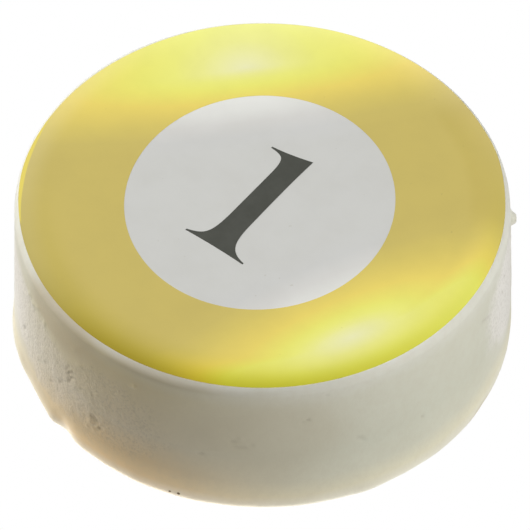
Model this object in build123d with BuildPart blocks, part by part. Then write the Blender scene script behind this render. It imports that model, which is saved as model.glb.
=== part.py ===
from build123d import *
import os

# A sandwich cookie sealed in a moulded white coating. An edible icing sheet lies flush in the
# flat top and carries a print of a yellow number 1 pool ball.
# Millimetres. The origin is the centre of the underside, +Z is up, and +Y is up in the numeral.

# Outside of the coating. The mould's wall leans out towards the underside, so the cookie
# drops out of it.
body_r = 25.4            # widest, just above the foot
height = 18.0
rim_r = 24.92            # top of the wall, below the lip
lip_flat_r = 24.38       # edge of the flat top
lip_h = 1.1              # the lip's height: a bevel that rounds off into the wall
foot_flat_r = 24.7       # edge of the flat underside
foot_h = 1.0             # the rounded foot's height

# Sandwich cookie: two biscuits with creme between them, in the middle of the coating.
cookie_z = 4.0           # underside of the lower biscuit
wafer_r = 22.25
wafer_t = 3.5            # with its relief
relief_t = 0.45
wafer_edge_r = 0.6
creme_r = 21.0
creme_t = 3.0

# Relief on a biscuit's outer face: a ribbed rim, a ring, short bars and holes.
rib_count = 48
rib_length = 2.6
rib_width = 1.3
rib_centre_r = 20.1
ring_outer_r = 17.4
ring_inner_r = 16.7
bar_count = 12
bar_length = 3.2
bar_width = 0.9
bar_centre_r = 13.4
hole_count = 6
hole_ring_r = 8.0
hole_r = 0.8
hole_depth = 1.6
boss_r = 3.6

# Closing pour: a plug that narrows upwards and seals the underside.
plug_foot_r = 23.2
plug_top_r = 22.5
plug_h = cookie_z + relief_t   # up to the lower biscuit's smooth rim, round its relief

# Icing sheet and the ink on it. The ink's top is flush with the coating.
sheet_r = 24.35
sheet_t = 0.5
ink_t = 0.05
ink_z = height - ink_t
sheet_z = ink_z - sheet_t

# The ball's white spot, bare sheet inside the yellow ink. It is an oval whose longer axis
# leans to the left of the numeral.
spot_x = -0.19
spot_y = -0.15
spot_half_w = 13.56
spot_half_h = 14.34
spot_turn = 22.7         # degrees

# The numeral: a serif 1, whose stem leans a little to the left.
stem_left_low = -1.51
stem_left_high = -1.59
stem_right_low = 1.02
cap_x = 0.93             # top right corner
cap_y = 7.24
flag_tip_x = -3.66
flag_tip_y = 6.345
flag_join_y = 3.6        # the flag's underside runs into the stem here
serif_left = -3.79
serif_right = 3.54
serif_left_y = -7.68     # the base's left end sits a little higher than its right end
serif_right_y = -7.855
serif_join_y = -3.4      # both brackets run into the stem here
tip_t = 0.19             # thickness of the serifs' ends


def outer_outline():
    """Half section of the whole cookie, from the axis out along the underside and up."""
    foot_corner = (foot_flat_r, 0)
    wall_foot = (body_r, foot_h)
    wall_top = (rim_r, height - lip_h)
    lip_corner = (lip_flat_r, height)
    Line((0, 0), foot_corner)
    EllipticalCenterArc(
        (foot_flat_r, foot_h), body_r - foot_flat_r, foot_h, start_angle=270, arc_size=90
    )
    Line(wall_foot, wall_top)
    Bezier(
        wall_top,
        (rim_r, height - lip_h + 0.5),
        (lip_flat_r + 0.25, height - 0.25),
        lip_corner,
    )
    Line(lip_corner, (0, height))
    Line((0, height), (0, 0))


def wafer(inner_z, outward):
    """A biscuit whose smooth face is at inner_z. outward is 1 or -1, the way its relief faces."""
    plate_t = wafer_t - relief_t
    face_z = inner_z + outward * plate_t
    with BuildPart() as biscuit:
        with BuildSketch(Plane.XY.offset(inner_z)):
            Circle(wafer_r)
        extrude(amount=outward * plate_t)
        fillet(biscuit.edges().filter_by(GeomType.CIRCLE), radius=wafer_edge_r)
        with BuildSketch(Plane.XY.offset(face_z)):
            with PolarLocations(rib_centre_r, rib_count):
                SlotOverall(rib_length, rib_width)
            Circle(ring_outer_r)
            Circle(ring_inner_r, mode=Mode.SUBTRACT)
            with PolarLocations(bar_centre_r, bar_count):
                SlotOverall(bar_length, bar_width)
            Circle(boss_r)
        extrude(amount=outward * relief_t)
        with BuildSketch(Plane.XY.offset(face_z)):
            with PolarLocations(hole_ring_r, hole_count):
                Circle(hole_r)
        extrude(amount=-outward * hole_depth, mode=Mode.SUBTRACT)
    return biscuit


# The sandwich cookie, from the bottom up.
lower_inner_z = cookie_z + wafer_t
upper_inner_z = lower_inner_z + creme_t
lower_wafer = wafer(lower_inner_z, -1)
upper_wafer = wafer(upper_inner_z, 1)

with BuildPart() as creme_filling:
    with BuildSketch(Plane.XY.offset(lower_inner_z)):
        Circle(creme_r)
    extrude(amount=creme_t)

# The closing pour seals the lower biscuit in.
with BuildPart() as coating_base:
    with BuildSketch(Plane.XZ):
        with BuildLine():
            Polyline(
                (0, 0),
                (plug_foot_r, 0),
                (plug_top_r, plug_h),
                (0, plug_h),
                close=True,
            )
        make_face()
    revolve(axis=Axis.Z)
    # it runs into the biscuit's holes
    with BuildSketch(Plane.XY.offset(plug_h)):
        with PolarLocations(hole_ring_r, hole_count):
            Circle(hole_r)
    extrude(amount=hole_depth)
    add(lower_wafer.part, mode=Mode.SUBTRACT)

# The first pour holds everything else, so it is the whole outer shape less the other pieces.
with BuildPart() as coating_shell:
    with BuildSketch(Plane.XZ):
        with BuildLine():
            outer_outline()
        make_face()
    revolve(axis=Axis.Z)
    with BuildSketch(Plane.XY.offset(sheet_z)):
        Circle(sheet_r)
    extrude(amount=sheet_t + ink_t, mode=Mode.SUBTRACT)
    add(lower_wafer.part, mode=Mode.SUBTRACT)
    add(creme_filling.part, mode=Mode.SUBTRACT)
    add(upper_wafer.part, mode=Mode.SUBTRACT)
    add(coating_base.part, mode=Mode.SUBTRACT)

with BuildPart() as icing_sheet:
    with BuildSketch(Plane.XY.offset(sheet_z)):
        Circle(sheet_r)
    extrude(amount=sheet_t)

with BuildPart() as yellow_print:
    with BuildSketch(Plane.XY.offset(ink_z)):
        Circle(sheet_r)
        with Locations((spot_x, spot_y)):
            Ellipse(spot_half_w, spot_half_h, rotation=spot_turn, mode=Mode.SUBTRACT)
    extrude(amount=ink_t)

with BuildPart() as numeral_print:
    with BuildSketch(Plane.XY.offset(ink_z)):
        with BuildLine():
            # base, slightly hollow, from its left end to its right end
            Bezier(
                (serif_left, serif_left_y),
                (-1.5, serif_left_y + 0.06),
                (1.0, serif_left_y - 0.01),
                (serif_right, serif_right_y),
            )
            Line((serif_right, serif_right_y), (serif_right, serif_right_y + tip_t))
            # right bracket, and the stem's right side up to the top corner
            Bezier(
                (serif_right, serif_right_y + tip_t),
                (1.56, -7.25),
                (stem_right_low + 0.08, -6.2),
                (stem_right_low, serif_join_y),
            )
            Bezier(
                (stem_right_low, serif_join_y),
                (stem_right_low - 0.09, 0),
                (cap_x - 0.11, 4.2),
                (cap_x, cap_y),
            )
            # top of the flag, its end and its underside
            Bezier(
                (cap_x, cap_y),
                (-0.9, cap_y - 0.46),
                (-2.2, flag_tip_y + tip_t / 2 + 0.09),
                (flag_tip_x, flag_tip_y + tip_t / 2),
            )
            Line((flag_tip_x, flag_tip_y + tip_t / 2), (flag_tip_x, flag_tip_y - tip_t / 2))
            Bezier(
                (flag_tip_x, flag_tip_y - tip_t / 2),
                (-2.0, flag_tip_y - 0.245),
                (stem_left_high - 0.05, 5.95),
                (stem_left_high, flag_join_y),
            )
            # left side of the stem and the left bracket
            Line((stem_left_high, flag_join_y), (stem_left_low, serif_join_y))
            Bezier(
                (stem_left_low, serif_join_y),
                (stem_left_low - 0.04, -6.4),
                (stem_left_low - 0.34, -7.0),
                (serif_left, serif_left_y + tip_t),
            )
            Line((serif_left, serif_left_y + tip_t), (serif_left, serif_left_y))
        make_face()
    extrude(amount=ink_t)

pieces = {
    "coating_shell": coating_shell,
    "coating_base": coating_base,
    "upper_wafer": upper_wafer,
    "creme_filling": creme_filling,
    "lower_wafer": lower_wafer,
    "icing_sheet": icing_sheet,
    "yellow_print": yellow_print,
    "numeral_print": numeral_print,
}

os.makedirs("parts", exist_ok=True)
for name, piece in pieces.items():
    piece.part.label = name
    export_step(piece.part, f"parts/{name}.step")
    print(name, round(piece.part.volume), "mm3")
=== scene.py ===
import bpy
import bmesh
import math
import numpy as np
from mathutils import Matrix, Vector, noise


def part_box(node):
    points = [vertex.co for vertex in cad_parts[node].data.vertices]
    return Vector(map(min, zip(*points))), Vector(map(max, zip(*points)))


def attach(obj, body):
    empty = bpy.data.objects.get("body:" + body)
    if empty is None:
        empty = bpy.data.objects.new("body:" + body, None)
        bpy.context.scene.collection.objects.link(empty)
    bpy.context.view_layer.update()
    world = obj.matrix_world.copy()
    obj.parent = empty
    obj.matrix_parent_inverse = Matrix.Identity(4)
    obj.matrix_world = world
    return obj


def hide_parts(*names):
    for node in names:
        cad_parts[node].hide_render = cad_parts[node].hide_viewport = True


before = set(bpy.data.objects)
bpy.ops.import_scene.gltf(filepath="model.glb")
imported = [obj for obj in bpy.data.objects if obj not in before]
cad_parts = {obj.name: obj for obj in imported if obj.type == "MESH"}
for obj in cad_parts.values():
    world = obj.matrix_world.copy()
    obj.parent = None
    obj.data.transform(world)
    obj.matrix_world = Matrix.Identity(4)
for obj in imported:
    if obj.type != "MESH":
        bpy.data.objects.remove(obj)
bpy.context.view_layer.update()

# ---------------------------------------------------------------- places and sizes, in millimetres
MM = 0.001


def box_mm(node):
    low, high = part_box(node)
    return low / MM, high / MM


body_high = box_mm("coating_shell")[1]
plug_high = box_mm("coating_base")[1]
sheet_low, sheet_high = box_mm("icing_sheet")
cookie_low, cookie_high = box_mm("lower_wafer")[0], box_mm("upper_wafer")[1]
creme_low, creme_high = box_mm("creme_filling")

BODY_R = body_high.x
HEIGHT = body_high.z
SHEET_R = sheet_high.x
SHEET_Z = sheet_low.z
PLUG_R = plug_high.x
COOKIE_R = cookie_high.x
CREME_R = creme_high.x

RIM_R = BODY_R - 0.48       # top of the wall
LIP_R = SHEET_R + 0.03      # inner edge of the bevelled lip
LIP_H = 1.1
FOOT_FLAT_R = BODY_R - 0.7
FOOT_H = 1.0
PLUG_TOP_R = PLUG_R - 0.7
PLUG_H = cookie_low.z + 0.45
INK_T = 0.012               # thickness of the ink that shows
CREASE = 0.6                # an edge that turns more than this, in radians, is shaded as sharp

# Bulges of the print's outer edge: row angle, half width in degrees, how far out.
EDGE_BULGES = [
    (208.0, 13.0, 0.17),
    (160.0, 24.0, -0.16),
    (126.0, 12.0, -0.07),
    (52.0, 8.0, 0.13),
    (20.0, 15.0, 0.03),
]


def edge_bulge(angle):
    """How much further out the print's edge and the lip lie at a row angle, in millimetres."""
    out = np.zeros_like(angle, float)
    for at, wide, far in EDGE_BULGES:
        out += far * np.exp(-((turn_between(angle, at) / wide) ** 2))
    return out


# ---------------------------------------------------------------- mesh helpers
def smoothstep(edge_0, edge_1, x):
    t = np.clip((x - edge_0) / (edge_1 - edge_0), 0, 1)
    return t * t * (3 - 2 * t)


def turn_between(a, b):
    """Signed angle from b to a, in degrees, for arrays."""
    return (a - b + 180) % 360 - 180


def perlin(points, size, offset=0.0):
    """Smooth noise from about -1 to 1 at points in millimetres. size is the feature's length."""
    shift = Vector((offset, 1.7 * offset, -0.6 * offset))
    values = [noise.noise(Vector(p) / size + shift) for p in points.reshape(-1, 3)]
    return np.array(values).reshape(points.shape[:-1])


def add_object(name, data):
    """A new object in the scene with this mesh, lamp or camera."""
    made = bpy.data.objects.new(name, data)
    bpy.context.scene.collection.objects.link(made)
    return made


def mesh_piece(name, vertices_mm, faces, smooth=True):
    mesh = bpy.data.meshes.new(name)
    mesh.from_pydata((np.asarray(vertices_mm) * MM).tolist(), [], faces)
    mesh.validate()
    piece = add_object(name, mesh)
    if smooth:
        mesh.polygons.foreach_set("use_smooth", [True] * len(mesh.polygons))
        mesh.set_sharp_from_angle(angle=CREASE)
    return piece


def bmesh_piece(name, bm):
    mesh = bpy.data.meshes.new(name)
    bm.to_mesh(mesh)
    bm.free()
    return add_object(name, mesh)


def revolved(name, profile, turns, shape):
    """A closed surface turned about Z. profile is (r, z) points from the axis back to the axis,
    and shape(radius, height, angle) may move the rings' points before they are joined."""
    profile = np.asarray(profile, float)
    rings = profile[1:-1]
    angle = np.radians(np.arange(turns) * 360 / turns)
    radius, turn = np.meshgrid(rings[:, 0], angle, indexing="ij")
    height = np.repeat(rings[:, 1:2], turns, axis=1)
    radius, height = shape(radius, height, np.degrees(turn))
    around = np.stack([radius * np.cos(turn), radius * np.sin(turn), height], -1)
    count = len(rings)
    vertices = np.vstack([around.reshape(-1, 3), [[0, 0, profile[0, 1]], [0, 0, profile[-1, 1]]]])
    start, end = count * turns, count * turns + 1
    faces = []
    for i in range(turns):
        j = (i + 1) % turns
        faces.append((start, j, i))
        faces.append((end, (count - 1) * turns + i, (count - 1) * turns + j))
        for k in range(count - 1):
            faces.append((k * turns + i, k * turns + j, (k + 1) * turns + j, (k + 1) * turns + i))
    return mesh_piece(name, vertices, faces)


# ---------------------------------------------------------------- material helpers
def srgb(red, green, blue):
    """A colour as it shows, 0 to 255, as a linear colour."""
    def linear(c):
        c = c / 255
        return c / 12.92 if c <= 0.04045 else ((c + 0.055) / 1.055) ** 2.4
    return (linear(red), linear(green), linear(blue), 1.0)


class Nodes:
    """Short calls for building one material's node tree."""

    def __init__(self, name):
        self.material = bpy.data.materials.new(name)
        self.material.use_nodes = True
        self.tree = self.material.node_tree
        self.tree.nodes.clear()
        self.shader = self.add("ShaderNodeBsdfPrincipled")
        self.output = self.add("ShaderNodeOutputMaterial")
        self.tree.links.new(self.shader.outputs[0], self.output.inputs["Surface"])
        self.position = self.add("ShaderNodeTexCoord").outputs["Object"]

    def add(self, kind, **settings):
        node = self.tree.nodes.new(kind)
        for key, value in settings.items():
            setattr(node, key, value)
        return node

    def put(self, socket, value):
        if isinstance(value, bpy.types.NodeSocket):
            self.tree.links.new(value, socket)
        else:
            socket.default_value = value

    def math(self, operation, *values):
        node = self.add("ShaderNodeMath", operation=operation)
        for socket, value in zip(node.inputs, values):
            self.put(socket, value)
        return node.outputs[0]

    def vector(self, operation, *values, result="Vector"):
        node = self.add("ShaderNodeVectorMath", operation=operation)
        for socket, value in zip(node.inputs, values):
            self.put(socket, value)
        return node.outputs[result]

    def axis(self, vector, letter):
        node = self.add("ShaderNodeSeparateXYZ")
        self.put(node.inputs[0], vector)
        return node.outputs[letter]

    def seen_from_above(self):
        """The place across the object's axis, in millimetres."""
        return self.vector("MULTIPLY", self.position, (1 / MM, 1 / MM, 0))

    def between(self, value, low, high, new_low=0.0, new_high=1.0):
        """value from low..high to new_low..new_high, smoothly and clamped."""
        node = self.add("ShaderNodeMapRange", interpolation_type="SMOOTHSTEP")
        for socket, number in zip(node.inputs, (value, low, high, new_low, new_high)):
            self.put(socket, number)
        return node.outputs[0]

    def ramp(self, factor, stops):
        node = self.add("ShaderNodeValToRGB")
        self.put(node.inputs[0], factor)
        elements = node.color_ramp.elements
        while len(elements) < len(stops):
            elements.new(1.0)
        for element, (place, colour) in zip(elements, stops):
            element.position = place
            element.color = colour
        return node.outputs[0]

    def mix(self, factor, a, b):
        node = self.add("ShaderNodeMix", data_type="RGBA")
        self.put(node.inputs[0], factor)
        self.put(node.inputs[6], a)
        self.put(node.inputs[7], b)
        return node.outputs[2]

    def noise(self, scale, detail=2.0, roughness=0.5, vector=None):
        node = self.add("ShaderNodeTexNoise")
        self.put(node.inputs["Vector"], self.position if vector is None else vector)
        node.inputs["Scale"].default_value = scale
        node.inputs["Detail"].default_value = detail
        node.inputs["Roughness"].default_value = roughness
        return node.outputs[0]

    def bump(self, height, distance_mm, strength=1.0):
        node = self.add("ShaderNodeBump")
        node.inputs["Strength"].default_value = strength
        node.inputs["Distance"].default_value = distance_mm * MM
        self.put(node.inputs["Height"], height)
        self.put(self.shader.inputs["Normal"], node.outputs[0])

    def attribute(self, name, output="Color"):
        return self.add("ShaderNodeAttribute", attribute_name=name).outputs[output]

    def set(self, **values):
        """Sets the shader's own sockets: set(Roughness=0.4, IOR=1.45)."""
        for key, value in values.items():
            self.put(self.shader.inputs[key.replace("_", " ")], value)


SHEEN = 0.022     # the sheet's sheen lightens its colours by this much


def ink(red, green, blue):
    """The ink that shows as a colour, 0 to 255, in white light."""
    return tuple(max(c - SHEEN, 0) for c in srgb(red, green, blue)[:3]) + (1.0,)


def give(piece, material):
    piece.data.materials.clear()
    piece.data.materials.append(material)


# ---------------------------------------------------------------- the coating
# Marks in the poured wall: row angle (degrees), height, length, width, how far the mark's length
# is turned up from level (degrees), and how far it stands out, or in if negative.
WALL_MARKS = [
    # short slashes in a cluster
    (-102.9, 11.2, 0.9, 0.23, 48, -0.11),
    (-101.8, 10.8, 1.0, 0.23, 48, -0.13),
    (-102.7, 10.3, 0.7, 0.24, 48, -0.12),
    (-101.6, 10.1, 1.0, 0.23, 45, -0.13),
    (-102.3, 9.4, 0.9, 0.23, 48, -0.12),
    (-103.6, 10.7, 0.6, 0.22, 48, -0.09),
    (-105.4, 8.1, 1.0, 0.26, 48, -0.11),
    (-111.9, 8.2, 0.8, 0.30, 45, -0.08),
    (-109.4, 6.4, 0.8, 0.30, 50, -0.10),
    (-124.2, 7.7, 1.2, 0.40, 60, -0.12),
    # a groove, and the dimple below it
    (-94.6, 10.1, 0.9, 0.20, -70, -0.07),
    (-94.2, 9.2, 1.0, 0.20, -80, -0.06),
    (-93.7, 8.4, 0.5, 0.20, -70, -0.05),
    (-94.0, 6.7, 1.2, 0.8, -35, -0.12),
    (-92.3, 5.8, 0.6, 0.35, 60, -0.10),
    (-98.4, 6.4, 0.8, 0.5, 20, -0.05),
    # grains round the dimple
    (-95.4, 5.7, 0.5, 0.4, 0, 0.08),
    (-94.3, 5.0, 0.5, 0.4, 0, 0.08),
    (-93.3, 5.6, 0.4, 0.35, 0, 0.08),
    (-96.4, 4.8, 0.5, 0.4, 0, 0.06),
    (-91.7, 5.3, 0.4, 0.3, 50, 0.07),
    (-92.8, 4.5, 0.5, 0.3, 0, 0.06),
    # crests along the patch's upper edge
    (-120.9, 14.5, 1.2, 0.4, 40, 0.09),
    (-118.2, 14.2, 1.2, 0.4, 30, 0.09),
    (-116.0, 14.7, 0.9, 0.4, 30, 0.07),
    (-122.8, 13.4, 1.2, 0.4, 30, 0.06),
    (-112.6, 13.7, 0.9, 0.3, 80, 0.09),
    (-100.6, 14.8, 0.8, 0.3, 40, 0.05),
    (-99.2, 12.9, 0.8, 0.3, 45, 0.06),
    (-82.9, 14.8, 0.5, 0.42, -30, 0.22),
    (-84.0, 14.65, 0.4, 0.3, 0, 0.12),
    # faint marks further round
    (-59.2, 10.4, 0.7, 0.5, 0, -0.05),
    (-57.6, 9.6, 1.5, 0.5, 0, -0.05),
    (-57.4, 10.9, 0.5, 0.4, 0, 0.05),
    (-54.9, 10.0, 0.5, 0.6, 0, -0.03),
    (-66.6, 8.0, 0.7, 0.4, 10, -0.06),
    (-64.0, 8.6, 2.2, 0.25, 12, 0.03),
    (-42.2, 13.3, 0.35, 0.3, 0, -0.10),
    (-43.2, 13.1, 0.5, 0.4, 0, -0.04),
    (-37.7, 16.5, 0.4, 0.3, 0, -0.05),
    (-30.0, 8.9, 1.0, 0.6, -30, -0.05),
    (-28.9, 8.4, 0.7, 0.4, -30, -0.04),
    (-13.4, 7.7, 0.5, 0.3, -50, -0.07),
    (10.1, 13.1, 1.8, 0.5, -30, -0.06),
    (12.5, 12.6, 1.2, 0.4, -30, -0.04),
    (21.1, 12.2, 1.0, 0.35, -50, -0.07),
    (23.1, 13.6, 1.0, 0.35, -50, -0.06),
    (17.8, 14.2, 1.0, 0.4, -20, 0.06),
    # and on the far side
    (75.0, 7.4, 1.3, 0.3, 30, -0.07),
    (84.0, 12.5, 0.7, 0.5, 0, -0.08),
    (112.0, 5.8, 0.9, 0.3, -40, -0.07),
    (133.0, 11.2, 0.5, 0.4, 0, 0.07),
    (155.0, 9.0, 1.4, 0.3, 60, -0.06),
    (190.0, 13.4, 0.5, 0.5, 0, -0.09),
    (203.0, 6.9, 1.1, 0.3, 20, -0.06),
]
# Unevenness of the foot: row angle, width in degrees, how far out.
FOOT_MARKS = [
    (-109.5, 2.2, 0.13),
    (-104.5, 2.6, -0.30),
    (-99.0, 3.0, 0.05),
    (-137.0, 9.0, 0.20),
    (-120.0, 5.0, -0.13),
    (-28.0, 4.0, 0.10),
    (-8.0, 4.0, 0.07),
    (10.0, 5.0, -0.07),
    (60.0, 6.0, -0.12),
    (95.0, 4.0, 0.10),
    (140.0, 7.0, -0.10),
    (178.0, 5.0, 0.12),
]
# A nub near the top of the wall: row angle, height, half width, half height, how far out.
NUB = (38.0, 15.2, 0.5, 0.56, 0.6)
# Wide, soft pale places at both sides, partly pale coating and partly painted light and painted
# reflection: row angle, width in degrees, middle height, half height, and how pale.
PALE_AND_LIT_SIDES = [
    (-140.0, 16.0, 9.7, 6.5, 0.85),
    (24.0, 10.0, 9.8, 6.9, 0.55),
]
# Rough, paler patches of the wall: row angle and height of the middle, half width and half
# height, how much higher the middle gets per millimetre along the wall, and how pale it is.
PATCHES = [
    (-91.0, 9.0, 6.6, 5.3, 0.0, 0.2),
    (-117.0, 9.2, 9.4, 5.1, -0.24, 0.5),
    (27.0, 10.6, 7.4, 5.6, 0.0, 0.6),
    (118.0, 8.5, 6.0, 4.5, 0.2, 0.4),
]
# Painted shade on smooth parts of the wall, partly the coating's own darker tone: row angle, height,
# half width, half height, how dark.
SHADES = [
    (-107.0, 16.2, 7.0, 3.6, 1.0),
    (-76.0, 17.4, 8.0, 0.9, 0.5),
    (-50.0, 11.0, 10.0, 7.0, 0.5),
    (-119.0, 2.0, 6.0, 1.7, 0.8),
    (8.0, 0.1, 3.0, 1.2, 0.9),
]
# The warm tint on the front-left, which lies in the lamps' shade, is partly the coating's tone and
# partly painted warm shade.
WARM_ANGLE, WARM_WIDTH = -91.0, 32.5     # where the wall is warmest in colour, in degrees


def wall_points(angle, height):
    turn = np.radians(angle)
    return np.stack([BODY_R * np.cos(turn), BODY_R * np.sin(turn), height], -1)


def along_wall(angle, at):
    """Distance along the wall from the row angle at, in millimetres."""
    return np.radians(turn_between(angle, at)) * BODY_R


def patch_share(angle, height):
    """How rough and how pale the wall is: 0 in the smooth parts, with ragged edges. The paleness also
    holds the painted light at both sides.
    """
    on_wall = wall_points(angle, height)
    ragged = 0.16 * perlin(on_wall, 2.1, 40.0) + 0.10 * perlin(on_wall, 0.8, 44.0)
    rough, pale = np.zeros_like(height), np.zeros_like(height)
    for at, z, half_wide, half_tall, climb, paleness in PATCHES:
        along = along_wall(angle, at)
        reach = np.hypot(along / half_wide, (height - z - climb * along) / half_tall)
        share = smoothstep(1.22, 0.78, reach + ragged)
        rough = np.maximum(rough, share)
        pale = np.maximum(pale, share * paleness)
    upright = np.stack([on_wall[..., 0], on_wall[..., 1], height * 0.22], -1)
    streaks = perlin(upright, 0.9, 61.0)
    pale = pale * (0.82 + 0.3 * streaks)
    # pale sides: partly the coating's paleness, partly painted light and painted reflection
    for at, wide, z, half_tall, paleness in PALE_AND_LIT_SIDES:
        side = np.exp(-((turn_between(angle, at) / wide) ** 2) - ((height - z) / half_tall) ** 4)
        pale = pale + paleness * side
    return rough, np.clip(pale, 0, 1)


def shade_share(angle, height):
    out = np.zeros_like(height)
    for at, z, half_wide, half_tall, darkness in SHADES:
        reach = np.hypot(along_wall(angle, at) / half_wide, (height - z) / half_tall)
        out = np.maximum(out, darkness * smoothstep(1.3, 0.4, reach))
    return out


def mark_relief(angle, height):
    out = np.zeros_like(height)
    for at, z, length, width, tilt, depth in WALL_MARKS:
        along, up = along_wall(angle, at), height - z
        cos_t, sin_t = math.cos(math.radians(tilt)), math.sin(math.radians(tilt))
        lengthways = (along * cos_t + up * sin_t) / length * 2
        across = (up * cos_t - along * sin_t) / width * 2
        out += depth * np.exp(-(lengthways ** 4) - across ** 2)
    return out


def nub_relief(angle, height):
    """A nub of coating, flat underneath and sloping above."""
    at, z, half_wide, half_tall, depth = NUB
    along, up = np.abs(along_wall(angle, at)), height - z
    side = smoothstep(half_wide + 0.25, half_wide - 0.25, along)
    upper = smoothstep(half_tall + 0.45, half_tall - 0.55, up)
    lower = smoothstep(-half_tall - 0.12, -half_tall + 0.06, up)
    lower *= 0.86 + 0.14 * smoothstep(-half_tall, -half_tall + 0.5, up)
    return depth * side * upper * lower


def wall_relief(angle, height):
    """How far the coating's wall stands out from its moulded shape, in millimetres."""
    on_wall = wall_points(angle, height)
    out = 0.05 * perlin(on_wall, 14.0, 3.1)
    out += 0.022 * perlin(on_wall * (1, 1, 0.8), 4.2, 11.0)
    out += 0.005 * perlin(on_wall, 0.7, 5.0)
    # the patches stand a little proud, dimpled and finely wrinkled
    patch = patch_share(angle, height)[0]
    turned = np.stack([on_wall[..., 0], on_wall[..., 1], height * 0.7], -1)
    dimples = perlin(on_wall, 0.55, 21.0)
    wrinkles = perlin(turned, 0.45, 8.0)
    swell = perlin(on_wall, 2.6, 27.0)
    out += patch * (0.035 + 0.02 * swell + 0.016 * dimples + 0.018 * wrinkles)
    out += mark_relief(angle, height)
    # the foot
    low = smoothstep(3.6, 0.6, height)
    around = on_wall * (1, 1, 0)
    out += low * (0.05 * perlin(around, 5.0, 2.0) + 0.03 * perlin(around, 1.6, 9.0))
    for at, wide, depth in FOOT_MARKS:
        out += low * depth * np.exp(-((turn_between(angle, at) / wide) ** 2))
    return out + nub_relief(angle, height)


def add_tone(piece):
    """Stores paleness (with painted light and painted shade), warmth, painted shade in the marks'
    dents and roughness for the coating's material, per vertex.
    """
    mesh = piece.data
    points = np.empty(len(mesh.vertices) * 3, np.float32)
    mesh.vertices.foreach_get("co", points)
    x, y, height = (points.reshape(-1, 3) / MM).T
    angle = np.degrees(np.arctan2(y, x))
    on_wall = smoothstep(SHEET_R - 1.2, SHEET_R, np.hypot(x, y))
    rough, pale = patch_share(angle, height)
    # painted shade, partly the coating's darker tone, kept off the pale places
    shade = shade_share(angle, height) * (1 - np.minimum(pale * 2, 1))
    # partly the coating's tone, partly painted warm shade
    warmth = np.exp(-((turn_between(angle, WARM_ANGLE) / WARM_WIDTH) ** 2))
    # the marks' dents are darker: painted shade in them
    dent_shade = np.clip(-mark_relief(angle, height) / 0.12, 0, 1)
    tone = np.stack([(0.5 + 0.5 * pale - 0.5 * shade), warmth, dent_shade, rough * on_wall], -1)
    tone[:, 0] = 0.5 + (tone[:, 0] - 0.5) * on_wall
    tone[:, 2] *= on_wall
    stored = mesh.attributes.new("tone", "FLOAT_COLOR", "POINT")
    stored.data.foreach_set("color", tone.astype(np.float32).ravel())


def lid_relief(x, y):
    """How far the flat top dips and swells, in millimetres, so that it isn't dead flat."""
    points = np.stack([x, y, np.zeros_like(x)], -1)
    return 0.008 * perlin(points, 11.0, 7.0) + 0.002 * perlin(points, 3.0, 1.0) - 0.01


def arc(centre, radius_r, radius_z, start, end, count):
    t = np.radians(np.linspace(start, end, count))
    return [(centre[0] + radius_r * math.cos(a), centre[1] + radius_z * math.sin(a)) for a in t]


def lip_profile():
    """The lip from the print's edge outward: a bevel that rounds off into the wall."""
    t = np.linspace(0, 1, 15)[:, None]
    edge, wall_top = np.array((LIP_R, HEIGHT)), np.array((RIM_R, HEIGHT - LIP_H))
    bevel, shoulder = edge + (0.25, -0.25), wall_top + (0, 0.5)
    points = (1 - t) ** 3 * edge + 3 * (1 - t) ** 2 * t * bevel
    points = points + 3 * (1 - t) * t * t * shoulder + t ** 3 * wall_top
    return [tuple(p) for p in points]


def coating_profile():
    """Half section of the first pour, from the pocket's middle out, down and back inside."""
    wall_top = HEIGHT - LIP_H
    wall_z = np.linspace(FOOT_H, wall_top, 80)[1:-1]
    draft = (BODY_R - RIM_R) / (wall_top - FOOT_H)
    pocket = [(r, SHEET_Z) for r in (0, 8, 16, 22, SHEET_R)]
    pocket += [(SHEET_R + 0.005, SHEET_Z + 0.25), (SHEET_R + 0.01, HEIGHT - 0.05)]
    wall = [(BODY_R - draft * (z - FOOT_H), z) for z in wall_z[::-1]]
    foot = arc((FOOT_FLAT_R, FOOT_H), BODY_R - FOOT_FLAT_R, FOOT_H, 0, -90, 9)
    foot += [(24.2, 0), (23.7, 0)]
    plug_seat = [(PLUG_R + 0.03, 0.02), (PLUG_R - 0.01, 0.12), (PLUG_TOP_R, PLUG_H)]
    low_z, high_z, top_z = creme_low.z, creme_high.z, cookie_high.z
    cavity = [(COOKIE_R, PLUG_H), (COOKIE_R, low_z), (CREME_R, low_z), (CREME_R, high_z)]
    cavity += [(COOKIE_R, high_z), (COOKIE_R, top_z), (11, top_z), (0, top_z)]
    return pocket + lip_profile() + wall + foot + plug_seat + cavity


def make_coating():
    """The first pour: wall, lip and top, with the pocket for the sheet and the cookie's cavity."""
    def shape(radius, height, angle):
        outside = smoothstep(SHEET_R + 0.1, LIP_R + 0.5, radius)
        outside *= smoothstep(FOOT_FLAT_R - 1.2, FOOT_FLAT_R, radius)
        top = smoothstep(HEIGHT - 0.9, HEIGHT - 0.1, height) * (radius > SHEET_R - 0.01)
        bulge = smoothstep(HEIGHT - 0.5, HEIGHT - 0.05, height) * (radius > SHEET_R - 0.01)
        moved = radius + outside * wall_relief(angle, height) + bulge * edge_bulge(angle)
        x, y = radius * np.cos(np.radians(angle)), radius * np.sin(np.radians(angle))
        lifted = height + top * lid_relief(x, y)
        under = smoothstep(0.25, 0.0, height) * (radius > PLUG_R)
        points = np.stack([x, y, 0 * x], -1)
        lifted = lifted + under * (0.06 + 0.06 * perlin(points, 2.2, 4.0))
        return moved, np.maximum(lifted, 0)

    return revolved("coating", coating_profile(), 800, shape)


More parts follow.
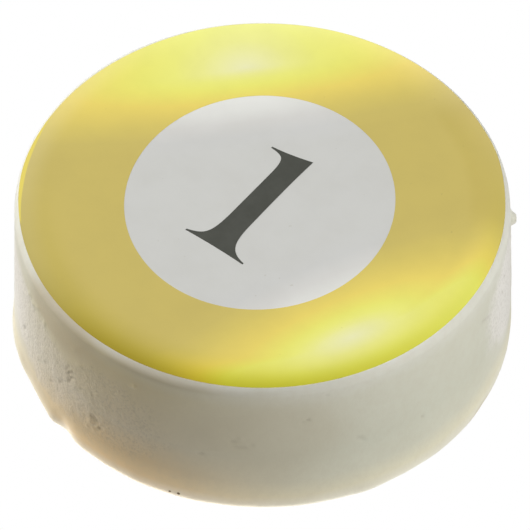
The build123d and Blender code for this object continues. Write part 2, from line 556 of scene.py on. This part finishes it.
def make_plug():
    """The closing pour that seals the underside, scraped level and a little sunken."""
    rim = PLUG_R - 0.02
    radii = np.linspace(0, rim - 0.25, 60)[1:]
    profile = [(0, 0.0)] + [(r, 0.0) for r in radii]
    profile += [(rim - 0.1, 0.03), (rim, 0.12), (PLUG_TOP_R - 0.02, PLUG_H - 0.02)]
    profile += [(COOKIE_R, PLUG_H - 0.02)]
    profile += [(r, cookie_low.z - 0.01) for r in (COOKIE_R - 0.6, 12, 0)]

    def shape(radius, height, angle):
        turn = np.radians(angle)
        points = np.stack([radius * np.cos(turn), radius * np.sin(turn), 0 * radius], -1)
        under = height < 0.02
        sunken = 0.16 * smoothstep(rim, 6, radius)
        scraped = 0.035 * perlin(points * (0.25, 1.6, 1), 1.7, 6.0)
        rough = 0.03 * perlin(points, 5.0, 2.0) + 0.012 * perlin(points, 0.9, 8.0)
        pits = 0.10 * smoothstep(0.42, 0.62, perlin(points, 1.3, 17.0))
        return radius, height + under * np.maximum(0.05 + sunken + scraped + rough + pits, 0)

    return revolved("closing_pour", profile, 480, shape)


# ---------------------------------------------------------------- the printed sheet
# The spot and the numeral, in the row's X and Y.
SPOT_CENTRE = (-0.19, -0.15)
SPOT_HALF = (13.56, 14.34)
SPOT_TURN = 22.7            # degrees that its long axis leans to the left of the numeral's


def disc_rings(name, inner, outer, top_z, bottom_z, ring_count, turns):
    """A flat ring between two outlines, inner(angle) and outer(angle), closed, following the lid."""
    angle = np.radians(np.arange(turns) * 360 / turns)
    share = np.linspace(0, 1, ring_count)
    a, s = np.meshgrid(angle, share)
    inner_xy, outer_xy = inner(a), outer(a)
    x = inner_xy[0] * (1 - s) + outer_xy[0] * s
    y = inner_xy[1] * (1 - s) + outer_xy[1] * s
    wave = lid_relief(x, y)
    top = np.stack([x, y, top_z + wave], -1).reshape(-1, 3)
    bottom = np.stack([x, y, bottom_z + wave * (bottom_z > SHEET_Z + 0.01)], -1).reshape(-1, 3)
    below = len(top)
    last = (ring_count - 1) * turns
    faces = []
    for i in range(turns):
        j = (i + 1) % turns
        for k in range(ring_count - 1):
            quad = (k * turns + i, (k + 1) * turns + i, (k + 1) * turns + j, k * turns + j)
            faces.append(quad)
            faces.append(tuple(below + v for v in reversed(quad)))
        faces.append((i, j, below + j, below + i))
        faces.append((last + j, last + i, below + last + i, below + last + j))
    return mesh_piece(name, np.vstack([top, bottom]), faces)


def circle(radius):
    return lambda a: (radius * np.cos(a), radius * np.sin(a))


def print_edge(a):
    """The print's outer edge, which meets the lip."""
    reach = LIP_R - 0.005 + edge_bulge(np.degrees(a))
    return reach * np.cos(a), reach * np.sin(a)


def oval(centre, half, turn):
    """A turned oval. Its points lie at the angles asked for, as seen from its centre."""
    def outline(a):
        b = a - math.radians(turn)
        reach = 1 / np.hypot(np.cos(b) / half[0], np.sin(b) / half[1])
        return centre[0] + reach * np.cos(a), centre[1] + reach * np.sin(a)
    return outline


def make_sheet():
    """The icing sheet in its pocket. It bears the inks, and shows bare in the spot."""
    inner, outer = circle(0.4), circle(SHEET_R - 0.04)
    sheet = disc_rings("icing_top", inner, outer, HEIGHT - INK_T, SHEET_Z, 48, 240)
    close_centre(sheet)
    return sheet


def close_centre(piece):
    """Replaces the small hole's wall by flat faces, so that the disc is solid through."""
    bm = bmesh.new()
    bm.from_mesh(piece.data)
    middle = [f for f in bm.faces if all(v.co.xy.length < 0.5 * MM for v in f.verts)]
    bmesh.ops.delete(bm, geom=middle, context="FACES_ONLY")
    open_edges = [e for e in bm.edges if e.is_boundary]
    bmesh.ops.holes_fill(bm, edges=open_edges, sides=0)
    bmesh.ops.recalc_face_normals(bm, faces=bm.faces)
    bm.to_mesh(piece.data)
    bm.free()
    piece.data.set_sharp_from_angle(angle=CREASE)


def make_yellow():
    """The ink round the spot, out to the lip."""
    spot = oval(SPOT_CENTRE, SPOT_HALF, SPOT_TURN)
    return disc_rings("ball_print", spot, print_edge, HEIGHT, HEIGHT - INK_T, 24, 720)


def bezier(p0, p1, p2, p3, count=14):
    t = np.linspace(0, 1, count)[:, None]
    p0, p1, p2, p3 = (np.array(p, float) for p in (p0, p1, p2, p3))
    return (1 - t) ** 3 * p0 + 3 * (1 - t) ** 2 * t * p1 + 3 * (1 - t) * t * t * p2 + t ** 3 * p3


def numeral_outline():
    """The serif 1, going round from the left end of its base."""
    left_low, left_high, right_low = -1.51, -1.59, 1.02
    corner = (0.93, 7.24)
    base_left, base_right = (-3.79, -7.68), (3.54, -7.855)
    flag = (-3.66, 6.345)
    join_low, join_high = -3.4, 3.6
    tip = 0.19
    parts = [
        bezier(base_left, (-1.5, base_left[1] + 0.06), (1.0, base_left[1] - 0.01), base_right),
        bezier(
            (base_right[0], base_right[1] + tip),
            (1.56, -7.25),
            (right_low + 0.08, -6.2),
            (right_low, join_low),
        ),
        bezier((right_low, join_low), (right_low - 0.09, 0), (corner[0] - 0.11, 4.2), corner)[1:],
        bezier(
            corner,
            (-0.9, corner[1] - 0.46),
            (-2.2, flag[1] + 0.185),
            (flag[0], flag[1] + tip / 2),
        )[1:],
        bezier(
            (flag[0], flag[1] - tip / 2),
            (-2.0, flag[1] - 0.245),
            (left_high - 0.05, 5.95),
            (left_high, join_high),
        ),
        bezier(
            (left_low, join_low),
            (left_low - 0.04, -6.4),
            (left_low - 0.34, -7.0),
            (base_left[0], base_left[1] + tip),
        ),
    ]
    return np.vstack(parts)


def make_numeral():
    """The numeral's ink, a thin film that follows the lid."""
    outline = numeral_outline()
    bm = bmesh.new()
    ring = [bm.verts.new((x, y, 0)) for x, y in outline]
    face = bm.faces.new(ring)
    face.normal_update()
    bmesh.ops.triangulate(bm, faces=[face])
    bmesh.ops.subdivide_edges(bm, edges=bm.edges, cuts=2, use_grid_fill=True)
    made = bmesh.ops.extrude_face_region(bm, geom=bm.faces[:])
    lifted = {v for v in made["geom"] if isinstance(v, bmesh.types.BMVert)}
    for v in bm.verts:
        wave = float(lid_relief(np.array([v.co.x]), np.array([v.co.y]))[0])
        v.co.z = wave + (HEIGHT if v in lifted else HEIGHT - INK_T)
        v.co *= MM
    bmesh.ops.recalc_face_normals(bm, faces=bm.faces)
    return bmesh_piece("numeral_one", bm)


# ---------------------------------------------------------------- cookie crumbs at the foot
CRUMBS = [(-73.9, 1.0, 0.15), (-71.8, 1.05, 0.18)]     # row angle, height, radius


def make_crumbs():
    """Specks of biscuit caught in the foot."""
    bm = bmesh.new()
    for index, (at, z, size) in enumerate(CRUMBS):
        turn = math.radians(at)
        reach = BODY_R - 0.1
        grown = bmesh.ops.create_icosphere(bm, subdivisions=3, radius=size)
        for v in grown["verts"]:
            rough = 1 + 0.35 * noise.noise(v.co / size * 1.4 + Vector((3.0 * index, 5, 2)))
            v.co = Vector((v.co.x * rough, v.co.y * rough * 1.2, v.co.z * rough))
            v.co += Vector((reach * math.cos(turn), reach * math.sin(turn), z))
    for v in bm.verts:
        v.co *= MM
    return bmesh_piece("crumbs", bm)


# ---------------------------------------------------------------- materials
def height_tone(m, warmth):
    """The coating's colour by height: the cool ramp where warmth is 0, the warm one where it is 1.
    Lighter and warmer at the foot, a painted glow of light from the table; paler at the lip, painted
    light.
    """
    wander = m.math("MULTIPLY", m.math("SUBTRACT", m.noise(180, 2.0), 0.5), 0.06)
    z = m.math("ADD", m.math("MULTIPLY", m.axis(m.position, "Z"), 1 / MM / HEIGHT), wander)
    # lighter at the foot: painted glow; paler at the top: painted light on the lip
    cool = m.ramp(z, [
        (0.00, srgb(243, 240, 228)),
        (0.12, srgb(238, 233, 206)),
        (0.25, srgb(224, 223, 203)),
        (0.45, srgb(220, 220, 201)),
        (0.85, srgb(225, 224, 206)),
        (0.97, srgb(232, 231, 218)),
    ])
    warm = m.ramp(z, [
        (0.00, srgb(253, 246, 234)),
        (0.11, srgb(250, 216, 158)),
        (0.24, srgb(233, 202, 148)),
        (0.45, srgb(222, 206, 172)),
        (0.85, srgb(220, 203, 158)),
        (0.95, srgb(219, 207, 170)),
        (0.99, srgb(225, 220, 207)),
    ])
    return m.mix(warmth, cool, warm)


def coating_material():
    m = Nodes("white_coating")
    parts = m.add("ShaderNodeSeparateColor")
    m.put(parts.inputs[0], m.attribute("tone"))
    light, warmth, dent_shade = parts.outputs
    pale = m.between(light, 0.5, 1.0)
    shade = m.between(light, 0.5, 0.0)
    tone = height_tone(m, warmth)
    # the pale places' colour; at the sides it is partly painted light
    pale_and_lit = m.mix(warmth, srgb(251, 247, 240), srgb(244, 229, 206))
    tone = m.mix(m.math("MULTIPLY", pale, 0.88), tone, pale_and_lit)
    # painted shade: towards a dark tan
    tone = m.mix(m.math("MULTIPLY", shade, 0.5), tone, srgb(190, 172, 134))
    mottle = m.between(m.noise(160, 3.0, 0.55), 0.35, 0.75, 0.0, 0.12)
    plain = m.math("SUBTRACT", 1.0, m.math("MULTIPLY", pale, 0.7))
    tone = m.mix(m.math("MULTIPLY", mottle, plain), tone, srgb(196, 188, 162))
    flecks = m.between(m.noise(1100, 3.0, 0.65), 0.35, 0.7, 0.0, 0.12)
    tone = m.mix(m.math("MULTIPLY", flecks, plain), tone, srgb(206, 196, 170))
    # painted shade in the dents of the marks
    tone = m.mix(m.math("MULTIPLY", dent_shade, 0.35), tone, srgb(140, 124, 96))
    # fine wrinkles in the rough patches, with painted shade in the dips between them, and a slight
    # grain elsewhere
    rough = m.attribute("tone", "Alpha")
    upright = m.vector("MULTIPLY", m.position, (1, 1, 0.8))
    wrinkles = m.noise(3400, 2.0, 0.6, vector=upright)
    hollow_shade = m.math("MULTIPLY", m.between(wrinkles, 0.58, 0.3, 0.0, 0.2), rough)
    tone = m.mix(hollow_shade, tone, srgb(140, 128, 104))
    m.set(Base_Color=tone, Roughness=0.42, IOR=1.46)
    fine = m.math("MULTIPLY", wrinkles, rough)
    grain = m.math("MULTIPLY", m.noise(2600, 3.0, 0.6), 0.2)
    m.bump(m.math("ADD", fine, grain), 0.1, 0.7)
    return m.material


# The two glare patches: the middle on the print, and the way it runs in degrees.
GLARE_1 = ((-12.42, 13.38, 0), 47.0)
GLARE_2 = ((17.88, -8.8, 0), 67.0)


def along_and_across(m, place, glare, side):
    """Where a place is along a glare patch, and how far outward from its middle line."""
    centre, direction = glare
    turn = math.radians(direction)
    offset = m.vector("SUBTRACT", place, centre)
    along = m.vector("DOT_PRODUCT", offset, (math.cos(turn), math.sin(turn), 0), result="Value")
    outward = (-side * math.sin(turn), side * math.cos(turn), 0)
    return along, m.vector("DOT_PRODUCT", offset, outward, result="Value")


def root_of_squares(m, *values):
    total = 0.0
    for value in values:
        total = m.math("ADD", m.math("MULTIPLY", value, value), total)
    return m.math("SQRT", total)


def first_glare(m, place):
    """Distance to the first patch, a long oval whose outer side is drawn out to the rim."""
    stretch, outer_share = 4.19, 0.29
    along, across = along_and_across(m, place, GLARE_1, 1)
    out = m.math("MULTIPLY", m.math("MAXIMUM", across, 0.0), outer_share)
    across = m.math("ADD", out, m.math("MINIMUM", across, 0.0))
    return root_of_squares(m, m.math("DIVIDE", along, stretch), across)


def rising(m, full, power):
    """full times 1 - e^power, which rises from 0 towards full as the power falls from 0."""
    fading = m.math("MULTIPLY", m.math("EXPONENT", power), full)
    return m.math("SUBTRACT", full, fading)


def second_glare(m, place):
    """Distance to the second patch, which spreads both ways along the rim."""
    spread_from = 19.9      # the radius from which it spreads
    core_edge = 2.3         # the distance at its core's edge, and the least outside the core
    flat_to, flatness = 3.2, 1.4
    along, across = along_and_across(m, place, GLARE_2, -1)
    past = m.math("SUBTRACT", m.vector("LENGTH", place, result="Value"), spread_from)
    past = m.math("MAXIMUM", past, 0.0)
    out = rising(m, core_edge, m.math("MULTIPLY", past, -0.35))
    spread = rising(m, 11.7, m.math("MULTIPLY", m.math("MULTIPLY", past, past), -0.24))
    stretch = m.math("SUBTRACT", 2.99, m.math("MULTIPLY", past, 0.39))
    inward = m.math("MINIMUM", across, 0.0)
    outward = m.math("MULTIPLY", m.math("MAXIMUM", across, 0.0), 0.58)
    core_inward = m.math("MULTIPLY", inward, 0.6)
    core = root_of_squares(m, m.math("DIVIDE", along, 4.4), core_inward, outward)
    inward = m.math("MULTIPLY", inward, 0.94)
    along = m.math("MAXIMUM", m.math("SUBTRACT", m.math("ABSOLUTE", along), spread), 0.0)
    second = root_of_squares(m, m.math("DIVIDE", along, stretch), inward, out)
    # its pale middle is wide, and flat in colour
    flatter = m.math("POWER", m.math("DIVIDE", second, flat_to), flatness)
    second = m.math("MINIMUM", second, m.math("MULTIPLY", flatter, flat_to))
    return m.math("MAXIMUM", second, m.math("MINIMUM", core, core_edge))


GLARE_REACH = 12.0          # the colours round a glare patch change no further out than this


def colour_by_glare(m, stops):
    """The ink's colour, from stops of millimetres from a glare patch and the colour there."""
    place = m.seen_from_above()
    distance = m.math("MINIMUM", first_glare(m, place), second_glare(m, place))
    t = m.math("DIVIDE", distance, GLARE_REACH)
    return m.ramp(t, [(far / GLARE_REACH, ink(*colour)) for far, colour in stops])


def paper_grain(m, colour):
    """Slight mottling and a few specks, as printed icing has."""
    blotch = m.between(m.noise(260, 3.0, 0.6), 0.3, 0.75, 0.0, 0.045)
    colour = m.mix(blotch, colour, srgb(120, 110, 80))
    speck = m.between(m.noise(1500, 1.0, 0.5), 0.77, 0.82, 0.0, 0.2)
    return m.mix(speck, colour, srgb(140, 128, 90))


def facing(m, flat, row_angle):
    """1 on that side of the print, 0 a quarter turn away from it and -1 opposite."""
    turn = math.radians(row_angle)
    unit = m.vector("NORMALIZE", flat)
    return m.vector("DOT_PRODUCT", unit, (math.cos(turn), math.sin(turn), 0), result="Value")


# Row angles of the darkest, the greenest and the dullest part of the print's rim.
DARK_SIDE, GREEN_SIDE, DULL_SIDE = 286.0, 330.0, 50.0
# The brighter strip is a painted highlight: the lapped edge catching the light.
STRIP = (206.5, 18.5)       # row angle and half width, in degrees, of a brighter strip of the edge


def shade_rim(m, colour, flat, radius):
    """The ball in the print is darker towards one side of its rim and brighter towards the other,
    partly as printed and partly as painted shade and painted light.
    """
    start, width = 19.5, 4.9          # of the shading, in from the print's edge
    darkest = (0.60, 0.565, 0.16)     # red, green and blue at the edge, on the darkest side
    toward = facing(m, flat, DARK_SIDE)
    dark = m.math("POWER", m.math("MAXIMUM", toward, 0.0), 1.7)
    bright = m.math("MULTIPLY", m.math("MINIMUM", toward, 0.0), 0.25)
    rim = m.math("DIVIDE", m.math("SUBTRACT", radius, start), width)
    rim = m.math("POWER", m.math("MAXIMUM", rim, 0.0), 2.2)
    amount = m.math("MULTIPLY", rim, m.math("ADD", dark, bright))
    factors = m.add("ShaderNodeCombineXYZ")
    for socket, base in zip(factors.inputs, darkest):
        m.put(socket, m.math("POWER", base, amount))
    colour = m.vector("MULTIPLY", colour, factors.outputs[0])
    # a narrow line along the rim is greener beside the second glare patch
    toward = m.math("MAXIMUM", facing(m, flat, GREEN_SIDE), 0.0)
    line = m.math("MULTIPLY", toward, m.between(radius, 21.8, 24.0))
    colour = m.mix(line, colour, m.vector("MULTIPLY", colour, (0.93, 0.95, 0.72)))
    # and beyond that patch the rim is duller
    toward = m.between(facing(m, flat, DULL_SIDE), 0.90, 0.965)
    line = m.math("MULTIPLY", toward, m.between(radius, 20.3, 21.8))
    return m.mix(line, colour, m.vector("MULTIPLY", colour, (0.955, 0.945, 0.86)))


def finish_print(m, colour):
    """The sheet's and the inks' soft sheen and paper-like grain."""
    m.set(Base_Color=colour, Roughness=0.6, IOR=1.4, Specular_IOR_Level=0.16)
    m.bump(m.noise(1500, 3.0, 0.6), 0.01, 0.4)
    return m.material


def yellow_material():
    m = Nodes("yellow_ink")
    colour = colour_by_glare(m, [
        (0.0, (236, 235, 186)), (1.05, (236, 235, 147)), (1.75, (235, 234, 130)),
        (2.5, (234, 231, 121)), (3.15, (234, 226, 117)), (4.5, (233, 213, 113)),
        (5.6, (225, 205, 112)), (7.0, (214, 196, 111)), (8.75, (204, 187, 111)),
        (10.5, (201, 184, 110)),
    ])
    flat = m.seen_from_above()
    radius = m.vector("LENGTH", flat, result="Value")
    colour = shade_rim(m, colour, flat, radius)
    from_strip = m.math("ARCCOSINE", m.math("MINIMUM", facing(m, flat, STRIP[0]), 1.0))
    degrees = m.math("DEGREES", from_strip)
    haze = m.between(radius, 21.6, 24.3, 0.0, 0.12)
    haze = m.math("MULTIPLY", m.between(degrees, 62.0, 25.0), haze)
    colour = m.mix(haze, colour, ink(255, 246, 214))
    # painted highlight along the lapped edge
    colour = m.mix(lit_edge_strip(m, degrees, radius), colour, ink(232, 214, 112))
    return finish_print(m, paper_grain(m, colour))


def lit_edge_strip(m, degrees, radius):
    """Where the sheet's edge laps onto the lip, its yellow is painted brighter, a painted highlight
    of the light on that edge: 1 there, else 0.
    """
    inside = m.between(degrees, STRIP[1], STRIP[1] - 2.5)
    start = m.between(degrees, 4.0, STRIP[1], 24.11, 24.27)
    out = m.between(m.math("SUBTRACT", radius, start), -0.06, 0.06)
    return m.math("MULTIPLY", inside, out)


def icing_material():
    """The bare sheet, whose print is a little lighter towards the glare patches."""
    m = Nodes("icing")
    colour = colour_by_glare(m, [
        (4.5, (229, 229, 224)), (6.0, (222, 222, 217)), (7.5, (212, 211, 207)),
        (9.3, (205, 205, 202)), (11.5, (204, 204, 200)),
    ])
    return finish_print(m, paper_grain(m, colour))


def numeral_material():
    m = Nodes("dark_ink")
    colour = m.mix(m.between(m.noise(420, 3.0, 0.6), 0.3, 0.7), ink(85, 86, 81), ink(90, 91, 86))
    return finish_print(m, colour)


def biscuit_material():
    m = Nodes("cocoa_biscuit")
    blotch = m.between(m.noise(700, 4.0, 0.6), 0.3, 0.7)
    colour = m.mix(blotch, srgb(38, 26, 21), srgb(66, 46, 36))
    m.set(Base_Color=colour, Roughness=0.85, IOR=1.4)
    m.bump(m.noise(1600, 4.0, 0.7), 0.08, 0.7)
    return m.material


def crumb_material():
    """Biscuit under a film of coating."""
    m = Nodes("coated_crumb")
    blotch = m.between(m.noise(2400, 3.0, 0.6), 0.35, 0.65)
    colour = m.mix(blotch, srgb(112, 92, 66), srgb(160, 140, 108))
    m.set(Base_Color=colour, Roughness=0.6, IOR=1.45)
    m.bump(m.noise(3200, 3.0, 0.6), 0.04, 0.6)
    return m.material


def creme_material():
    m = Nodes("creme")
    blotch = m.between(m.noise(350, 3.0, 0.5), 0.3, 0.7)
    colour = m.mix(blotch, srgb(240, 234, 218), srgb(226, 218, 198))
    m.set(Base_Color=colour, Roughness=0.6, IOR=1.45, Subsurface_Weight=0.2)
    m.shader.inputs["Subsurface Scale"].default_value = 0.5 * MM
    m.bump(m.noise(900, 3.0, 0.6), 0.05, 0.5)
    return m.material


# ---------------------------------------------------------------- build the pieces
coating = make_coating()
add_tone(coating)
plug = make_plug()
add_tone(plug)
sheet = make_sheet()
yellow = make_yellow()
numeral = make_numeral()
crumbs = make_crumbs()

white = coating_material()
biscuit = biscuit_material()
give(coating, white)
give(plug, white)
give(sheet, icing_material())
give(yellow, yellow_material())
give(numeral, numeral_material())
give(crumbs, crumb_material())
for node in ("upper_wafer", "lower_wafer"):
    give(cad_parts[node], biscuit)
give(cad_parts["creme_filling"], creme_material())

for piece in (coating, plug, sheet, yellow, numeral, crumbs):
    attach(piece, "root")
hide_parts("coating_shell")
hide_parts("coating_base")
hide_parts("icing_sheet")
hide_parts("yellow_print")
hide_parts("numeral_print")


# ---------------------------------------------------------------- floor, light and camera
# The table glows a little round the cookie's foot, most of all where the lamps throw its shade.
# Each glow: strength, millimetres in which it falls to a third, row angle of its brightest
# side, and its strength there and on the opposite side.
GLOWS = [
    (0.58, 2.6, -70.0, 1.0, -0.08),
    (1.05, 0.7, -88.0, 1.0, -1.2),
]


def table_glow(m):
    """How brightly the table shines by itself at each place round the cookie."""
    flat = m.seen_from_above()
    far = m.math("SUBTRACT", m.vector("LENGTH", flat, result="Value"), BODY_R)
    far = m.math("MAXIMUM", far, 0.0)
    glow = 0.0
    for strength, reach, brightest, near_side, far_side in GLOWS:
        fall = m.math("EXPONENT", m.math("DIVIDE", far, -reach))
        half = (near_side - far_side) / 2
        side = m.math("MULTIPLY", facing(m, flat, brightest), half)
        side = m.math("MAXIMUM", m.math("ADD", side, far_side + half), 0.0)
        one = m.math("MULTIPLY", m.math("MULTIPLY", fall, side), strength)
        glow = m.math("ADD", one, glow)
    return glow


def floor_material():
    """Plain white to the camera; to the cookie, a pale table that glows round its foot."""
    m = Nodes("floor")
    m.tree.nodes.remove(m.shader)
    table = m.add("ShaderNodeBsdfDiffuse")
    m.put(table.inputs["Color"], (0.6, 0.6, 0.6, 1))
    shine = m.add("ShaderNodeEmission")
    m.put(shine.inputs["Color"], (1, 0.97, 0.9, 1))
    m.put(shine.inputs["Strength"], table_glow(m))
    both = m.add("ShaderNodeAddShader")
    m.put(both.inputs[0], table.outputs[0])
    m.put(both.inputs[1], shine.outputs[0])
    plain = m.add("ShaderNodeEmission")
    m.put(plain.inputs["Color"], (1, 1, 1, 1))
    mixed = m.add("ShaderNodeMixShader")
    m.put(mixed.inputs[0], m.add("ShaderNodeLightPath").outputs["Is Camera Ray"])
    m.put(mixed.inputs[1], both.outputs[0])
    m.put(mixed.inputs[2], plain.outputs[0])
    m.put(m.output.inputs["Surface"], mixed.outputs[0])
    return m.material


def make_floor():
    """A pale table that shows as plain white, and lights the cookie as a pale table does."""
    half_mm = 3000.0
    corners = np.array([(-1, -1, 0), (1, -1, 0), (1, 1, 0), (-1, 1, 0)]) * half_mm
    floor = mesh_piece("floor", corners, [(0, 1, 2, 3)], smooth=False)
    floor.data.materials.append(floor_material())


def make_world(grey):
    """Plain white behind the scene to the camera, and grey, from 0 to 1, as light on the cookie."""
    world = bpy.data.worlds.new("studio")
    bpy.context.scene.world = world
    world.use_nodes = True
    tree = world.node_tree
    tree.nodes.clear()
    seen = tree.nodes.new("ShaderNodeLightPath")
    strength = tree.nodes.new("ShaderNodeMapRange")
    strength.inputs["To Min"].default_value = grey
    strength.inputs["To Max"].default_value = 1.0
    background = tree.nodes.new("ShaderNodeBackground")
    background.inputs["Color"].default_value = (1, 1, 1, 1)
    output = tree.nodes.new("ShaderNodeOutputWorld")
    tree.links.new(seen.outputs["Is Camera Ray"], strength.inputs["Value"])
    tree.links.new(strength.outputs[0], background.inputs["Strength"])
    tree.links.new(background.outputs[0], output.inputs["Surface"])


CENTRE = Vector((0, 0, HEIGHT / 2)) * MM


def direction(row_angle, elevation):
    a, e = math.radians(row_angle), math.radians(elevation)
    return Vector((math.cos(a) * math.cos(e), math.sin(a) * math.cos(e), math.sin(e)))


def softbox(name, row_angle, elevation, distance, size, power):
    light = bpy.data.lights.new(name, "AREA")
    light.shape = "DISK"
    light.size = size
    light.energy = power
    lamp = add_object(name, light)
    toward = direction(row_angle, elevation)
    lamp.location = CENTRE + toward * distance
    lamp.rotation_euler = toward.to_track_quat("Z", "Y").to_euler()
    lamp.visible_camera = False


# Name, row angle and elevation in degrees, distance and size in metres, power in watts.
SOFTBOXES = [
    ("right", 7.6, 38, 0.8, 0.4, 3.82),
    ("right_low", 37.6, 18, 0.8, 0.4, 0.57),
    ("right_high", 37.6, 38, 0.8, 0.4, 0.65),
    ("left", 187.6, 38, 0.8, 0.4, 5.77),
    ("left_low", 172.6, 18, 0.8, 0.4, 1.60),
]
WORLD_GREY = 0.0


def make_camera():
    """Looks down at 49 degrees from the numeral's lower right, from far away."""
    azimuth, elevation, roll = 37.6, 49.2, -0.16
    distance = 0.7
    lens = 469.3
    right_mm, down_mm = 0.26, 0.535   # how far the view's centre is from the cookie's centre
    a, e = math.radians(azimuth), math.radians(elevation)
    back = Vector((math.sin(a) * math.cos(e), -math.cos(a) * math.cos(e), math.sin(e)))
    right = Vector((math.cos(a), math.sin(a), 0))
    up = back.cross(right)
    data = bpy.data.cameras.new("camera")
    data.lens = lens
    data.sensor_width = 36
    data.clip_start, data.clip_end = 0.01, 20
    camera = add_object("camera", data)
    camera.location = CENTRE + back * distance + (right * right_mm - up * down_mm) * MM
    level = (-back).to_track_quat("-Z", "Y").to_matrix()
    camera.rotation_euler = (level @ Matrix.Rotation(math.radians(roll), 3, "Z")).to_euler()
    bpy.context.scene.camera = camera


make_floor()
make_world(WORLD_GREY)
for box in SOFTBOXES:
    softbox(*box)
make_camera()
bpy.context.scene.view_settings.view_transform = "Standard"
